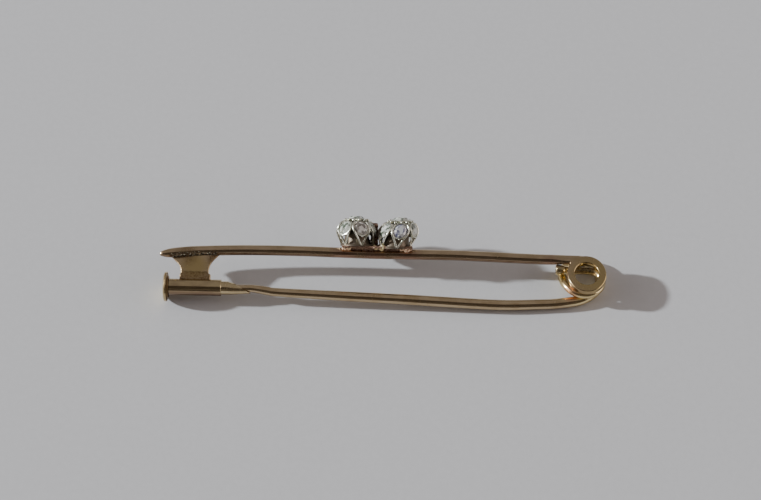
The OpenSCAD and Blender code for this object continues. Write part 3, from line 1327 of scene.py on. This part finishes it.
    def mark_depth(self, piece: Piece, foot: float, top: float) -> Piece:
        """Writes how dark a part is made, from its foot to the height of the stones.

        Args:
            piece: the part, before the cluster is placed.
            foot: the share of darkening at the base ring.
            top: the share of darkening at the stones.

        Returns:
            The part.
        """
        layer = piece.data.attributes.new("depth", "FLOAT", "POINT")
        for vertex, item in zip(piece.data.vertices, layer.data):
            item.value = foot + (top - foot) * ease(self.base_high, self.darkening_top, vertex.co.z)
        return piece

    def setting(self, material: Material) -> None:
        """Makes the white setting.

        Args:
            material: the white metal.
        """
        name = self.side.name.lower()
        parts = [
            self.mark_depth(self.base(), 1.25, 1.25), self.mark_depth(self.gallery(), 1.2, 1.1),
        ]
        rim = self.petal_ring / 2 + self.petal_lip
        cup = self.collet(self.petal_stone, rim, self.petal_depth)
        for k in range(self.petals):
            parts.append(self.mark_depth(Bench.copy(cup, self.seat(k)), 0.6, 0.05))
            parts.extend(self.mark_depth(claw, 0.35, 0.0) for claw in self.claws(k))
        Bench.drop(cup)
        rim = self.centre_stone + self.centre_lip
        middle = self.collet(self.centre_stone, rim, self.centre_depth)
        middle.data.transform(Matrix.Translation((0, 0, self.centre_height)))
        parts.append(self.mark_depth(middle, 0.6, 0.05))
        parts.extend(self.mark_depth(grain, 0.0, 0.0) for grain in self.grains())
        piece = Bench.join(parts)
        piece.data.transform(self.stand())
        finish_piece(piece, f"cluster_setting_{name}", material, (f"setting_{name}",))

    def stones(self, cut: Piece, finishes: Sequence[Material]) -> None:
        """Sets copies of the cut stone in their seats, the centre one first.

        Args:
            cut: the stone of radius 1 that is copied.
            finishes: the clear, the warm and the cool finish.
        """
        name = self.side.name.lower()
        for k in range(self.petals + 1):
            if k == 0:
                size = self.centre_stone
                place = Matrix.Translation((0, 0, self.centre_height))
            else:
                size = self.petal_stone
                place = self.seat(k - 1) @ Matrix.Rotation(self.stone_turn * k, 4, "Z")
            piece = Bench.copy(cut, self.stand() @ (place @ Matrix.Scale(size, 4)))
            draw = random.Random(40 + k + 10 * self.side.value)
            # Painted glints: the table gets a fixed brightness, the other facets one at random.
            layer = piece.data.attributes.new("spark", "FLOAT", "FACE")
            for face, item in zip(piece.data.polygons, layer.data):
                is_table = face.area > self.table_area
                item.value = self.table_painted_glint if is_table else draw.choice(self.painted_glint_levels)
            label = f"{name}_{k or 'centre'}"
            finish = finishes[2 if k in self.cool_stones[self.side.value] else k % 2]
            finish_piece(
                piece, f"cut_stone_{label}", finish, (f"stone_{label}",),
            )


@dataclass(frozen=True)
class Facets:
    """One tier of flats ground on a stone of radius 1."""

    count: int
    turn: float
    slope: float
    reach: float
    height: float


@dataclass(frozen=True)
class OldCut:
    """The old brilliant cut: a small table, a high crown and an open culet."""

    table: float = 0.345
    culet: float = -0.62
    tiers: tuple[Facets, ...] = (
        Facets(8, 0.0, 36.0, 1.0, 0.03),
        Facets(8, 22.5, 22.0, 0.545, 0.35),
        Facets(16, 11.25, 43.0, 0.985, 0.03),
        Facets(8, 0.0, -38.0, 1.0, -0.03),
        Facets(16, 11.25, -46.0, 0.985, -0.03),
    )

    def grind(self, at: Vector, outward: Vector) -> None:
        """Cuts away what lies beyond a plane.

        Args:
            at: a point of the plane.
            outward: the side that is cut away.
        """
        bpy.ops.mesh.select_all(action="SELECT")
        bpy.ops.mesh.bisect(
            plane_co=at, plane_no=outward, use_fill=True, clear_outer=True, clear_inner=False,
            threshold=MERGE / 10,
        )

    def build(self) -> Piece:
        """Grinds one stone of radius 1 out of a round blank.

        Returns:
            The stone, round the origin.
        """
        blank = bpy.ops.mesh.primitive_cylinder_add
        piece = Bench.start(blank, vertices=64, radius=0.995, depth=2.0)
        Bench.edit(piece)
        self.grind(Vector((0, 0, self.table)), Vector((0, 0, 1)))
        self.grind(Vector((0, 0, self.culet)), Vector((0, 0, -1)))
        for tier in self.tiers:
            up = 1.0 if tier.slope > 0 else -1.0
            tilt = math.radians(abs(tier.slope))
            for k in range(tier.count):
                a = math.radians(tier.turn + 360 * k / tier.count)
                x, y, away = math.cos(a), math.sin(a), math.sin(tilt)
                at = Vector((tier.reach * x, tier.reach * y, tier.height))
                self.grind(at, Vector((away * x, away * y, up * math.cos(tilt))))
        Bench.tidy(piece)
        bpy.ops.object.shade_flat()
        return piece


# ---- the stage


@dataclass
class Studio:
    """The pale floor, the low key light from the left and the camera."""

    azimuth: float = 1.6
    elevation: float = 55.0
    distance: float = 0.2734
    lens: float = 94.6
    target: Point = (-0.44, 4.26, 0.0)
    key_direction: Point = (-2.5, 0.22, 1.0)
    key_distance: float = 4.0
    key_size: Pair = (0.14, 0.14)
    key_watts: float = 255.0
    key_colour: Colour = (0.88, 0.94, 1.0)
    # name, along, watts
    fills: tuple[tuple[str, float, float], ...] = (
        ("left_fill", -0.88, 2.4), ("right_fill", 0.88, 3.4),
    )
    fill_size: Pair = (1.0, 0.6)
    fill_height: float = 0.35
    fill_colour: Colour = (1.0, 0.88, 0.84)
    # name, then across and height of the near and the far edge
    cards: tuple[tuple[str, Row, Row], ...] = (
        ("low_card", (-0.9, 0.0), (-0.9, 0.42)), ("high_card", (-0.9, 0.46), (-0.35, 0.95)),
    )
    card_reach: float = 1.1
    room_colour: Colour = (1.0, 0.93, 0.93)
    room_strength: float = 0.27
    floor_size: float = 1.6
    floor_gap: float = 0.00002

    def hang(self, name: str, data: bpy.types.ID, at: Vector, facing: Vector) -> Piece:
        """Puts a lamp or a camera in the scene.

        Args:
            name: its name.
            data: the lamp or the camera.
            at: its place, in metres.
            facing: the way that it looks.

        Returns:
            Its object.
        """
        made = bpy.data.objects.new(name, data)
        made.location = at
        made.rotation_mode = "QUATERNION"
        made.rotation_quaternion = facing.to_track_quat("-Z", "Y")
        bpy.context.scene.collection.objects.link(made)
        return made

    def lamp(self, name: str, at: Vector, size: Row, watts: float, colour: Colour) -> None:
        """Adds a soft box that faces the brooch.

        Args:
            name: its name.
            at: its place, in metres.
            size: its width and height in metres.
            watts: its power.
            colour: its colour.
        """
        data = bpy.data.lights.new(name, "AREA")
        data.shape = "RECTANGLE"
        data.size, data.size_y = size
        data.energy = watts
        data.color = colour
        self.hang(name, data, at, Vector() - at)

    def floor(self) -> None:
        """Lays the pale surface."""
        floor = Bench.start(
            bpy.ops.mesh.primitive_grid_add,
            x_subdivisions=8, y_subdivisions=8, size=self.floor_size,
        )
        floor.name = "table_top"
        floor.data.transform(Matrix.Translation((0, 0, -self.floor_gap)))
        floor.data.materials.append(PaperFinish().material())

    def flags(self) -> None:
        """Sets dark cards far behind the camera, which draw the dark lines in the metal."""
        g = Graph("dark_card")
        grain = g.noise(g.place(), (0.02, 0.02, 0.02))
        shade = g.mix(grain.ramp(0.3, 0.7), (0.075, 0.062, 0.054), (0.095, 0.08, 0.07))
        dark = g.surface({"Base Color": shade, "Roughness": 0.9})
        for name, near, far in self.cards:
            card = Bench.start(bpy.ops.mesh.primitive_plane_add, size=1.0)
            for vertex in card.data.vertices:
                y, z = far if vertex.co.y > 0 else near
                vertex.co = (math.copysign(self.card_reach, vertex.co.x), y, z)
            card.name = name
            card.data.materials.append(dark)

    def camera(self) -> None:
        """Sets the camera at the photograph's angle."""
        a, e = math.radians(self.azimuth), math.radians(self.elevation)
        back = Vector((math.sin(a) * math.cos(e), -math.cos(a) * math.cos(e), math.sin(e)))
        data = bpy.data.cameras.new("camera")
        data.lens = self.lens
        data.sensor_width = 36.0
        data.clip_start, data.clip_end = 0.005, 20.0
        at = Vector(self.target) * MM + back * self.distance
        bpy.context.scene.camera = self.hang("camera", data, at, -back)

    def build(self) -> None:
        """Builds the stage."""
        self.floor()
        self.flags()
        world = bpy.data.worlds.new("room")
        world.use_nodes = True
        background = world.node_tree.nodes["Background"].inputs
        background["Color"].default_value = (*self.room_colour, 1.0)
        background["Strength"].default_value = self.room_strength
        bpy.context.scene.world = world
        key = Vector(self.key_direction).normalized() * self.key_distance
        self.lamp("window", key, self.key_size, self.key_watts, self.key_colour)
        for name, x, watts in self.fills:
            at = Vector((x, 0.0, self.fill_height))
            self.lamp(name, at, self.fill_size, watts, self.fill_colour)
        self.camera()


def main() -> None:
    """Builds every sub-assembly in order."""
    logging.basicConfig(level=logging.INFO, format="%(message)s")
    Studio().build()
    Bar().build()
    Pin().build()
    Sleeve().build()
    white = WhiteMetalFinish().material()
    finishes = [
        DiamondFinish("diamond").material(),
        DiamondFinish("diamond_warm", (1.0, 0.95, 0.84), (0.22, 0.19, 0.15)).material(),
        DiamondFinish("diamond_cool", (0.94, 0.96, 0.94), (0.19, 0.19, 0.30)).material(),
    ]
    cut = OldCut().build()
    for side in Side:
        cluster = Cluster(side)
        cluster.setting(white)
        cluster.stones(cut, finishes)
    Bench.drop(cut)


if __name__ == "__main__":
    main()
